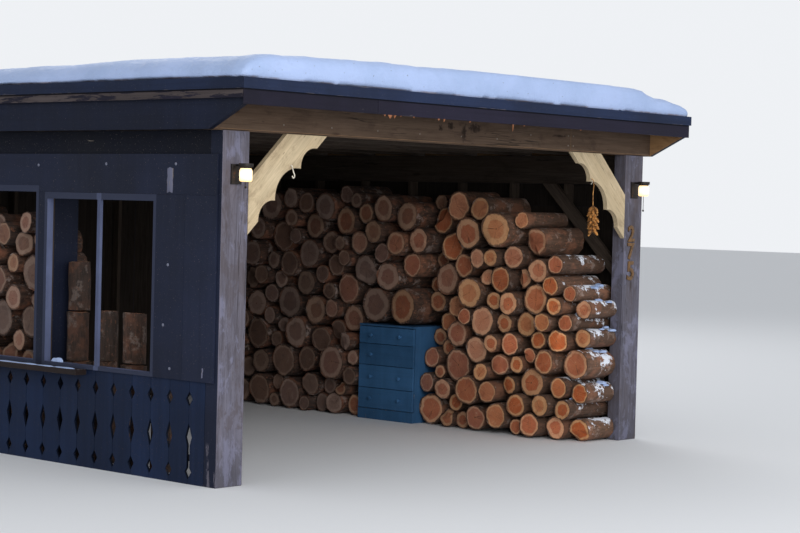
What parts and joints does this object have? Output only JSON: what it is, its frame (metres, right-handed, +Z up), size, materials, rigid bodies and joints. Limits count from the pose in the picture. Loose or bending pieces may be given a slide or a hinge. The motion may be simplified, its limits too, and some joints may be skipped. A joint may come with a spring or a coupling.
{
  "type": "log store",
  "caption": "Open-fronted timber log store with a nearly flat snow-covered roof, scalloped corner brackets, fretwork boards, stacked logs and a blue chest of drawers.",
  "frame": {"origin": "middle of the building at ground level", "axes": "+X along the open front towards the side with the chest of drawers, +Y from the open front to the back wall, +Z up"},
  "size_m": [4.964, 5.596, 2.81],
  "materials": {
    "post_wood": "weathered grey timber, rough sawn",
    "beam_wood": "weathered grey timber",
    "frame_wood": "dark unpainted timber",
    "deck_wood": "dark boards",
    "roof_felt": "mineral felt",
    "snow": "settled snow",
    "rim_paint": "dark blue-grey paint",
    "fascia_paint": "dark blue-grey paint, weathered",
    "strip_paint": "blue-grey paint",
    "wall_paint": "dark slate blue paint",
    "frame_paint": "lighter slate paint",
    "fret_paint": "dark slate blue paint, peeling low down",
    "ledge_paint": "dark slate blue paint",
    "bracket_wood": "weathered pale timber",
    "log_wood": "sawn ends and bark",
    "round_wood": "bark and sawn ends",
    "end_board_paint": "dark blue paint",
    "chest_paint": "mid blue paint",
    "lantern_metal": "dark metal",
    "cone_brown": "cones",
    "lantern_glass": "clear jar, lit warm"
  },
  "bodies": {
    "store": {"back_beam": "beam_wood", "back_posts": "post_wood", "back_sheets": "wall_paint", "back_studs": "frame_wood", "bracket_left": "bracket_wood", "bracket_right": "bracket_wood", "chest_carcass": "chest_paint", "cone_feeder": "cone_brown", "cross_joists": "frame_wood", "eave_strips": "strip_paint", "fascia_boards": "fascia_paint", "fretwork_panel": "fret_paint", "front_beam": "beam_wood", "front_post_left": "post_wood", "front_post_right": "post_wood", "lantern_jars": "lantern_glass", "lantern_mounts": "lantern_metal", "ledge_board": "ledge_paint", "left_corner_sheets": "wall_paint", "left_header_sheet": "wall_paint", "left_rails": "frame_wood", "left_short_studs": "frame_wood", "left_studs": "frame_wood", "left_window_sheets": "wall_paint", "log_stack_back": "log_wood", "log_stack_front": "log_wood", "log_stack_left": "log_wood", "log_stack_on_chest": "log_wood", "purlins": "frame_wood", "right_brace": "frame_wood", "right_sheets": "wall_paint", "right_studs": "frame_wood", "rim_boards": "rim_paint", "roof_covering": "roof_felt", "roof_deck": "deck_wood", "roof_snow": "snow", "stack_end_board": "end_board_paint", "standing_rounds": "round_wood", "wall_plates": "frame_wood", "window_frame_back": "frame_paint", "window_frame_front": "frame_paint", "window_frame_middle": "frame_paint"},
    "drawer_1_body": {"chest_drawer_1": "chest_paint"},
    "drawer_2_body": {"chest_drawer_2": "chest_paint"},
    "drawer_3_body": {"chest_drawer_3": "chest_paint"},
    "drawer_4_body": {"chest_drawer_4": "chest_paint"}
  },
  "joints": [
    {"name": "drawer_1_slide", "type": "slide", "parent": "store", "child": "drawer_1_body", "axis": [-1, 0, 0], "range_m": [0, 0.3]},
    {"name": "drawer_2_slide", "type": "slide", "parent": "store", "child": "drawer_2_body", "axis": [-1, 0, 0], "range_m": [0, 0.3]},
    {"name": "drawer_3_slide", "type": "slide", "parent": "store", "child": "drawer_3_body", "axis": [-1, 0, 0], "range_m": [0, 0.3]},
    {"name": "drawer_4_slide", "type": "slide", "parent": "store", "child": "drawer_4_body", "axis": [-1, 0, 0], "range_m": [0, 0.3]}
  ]
}
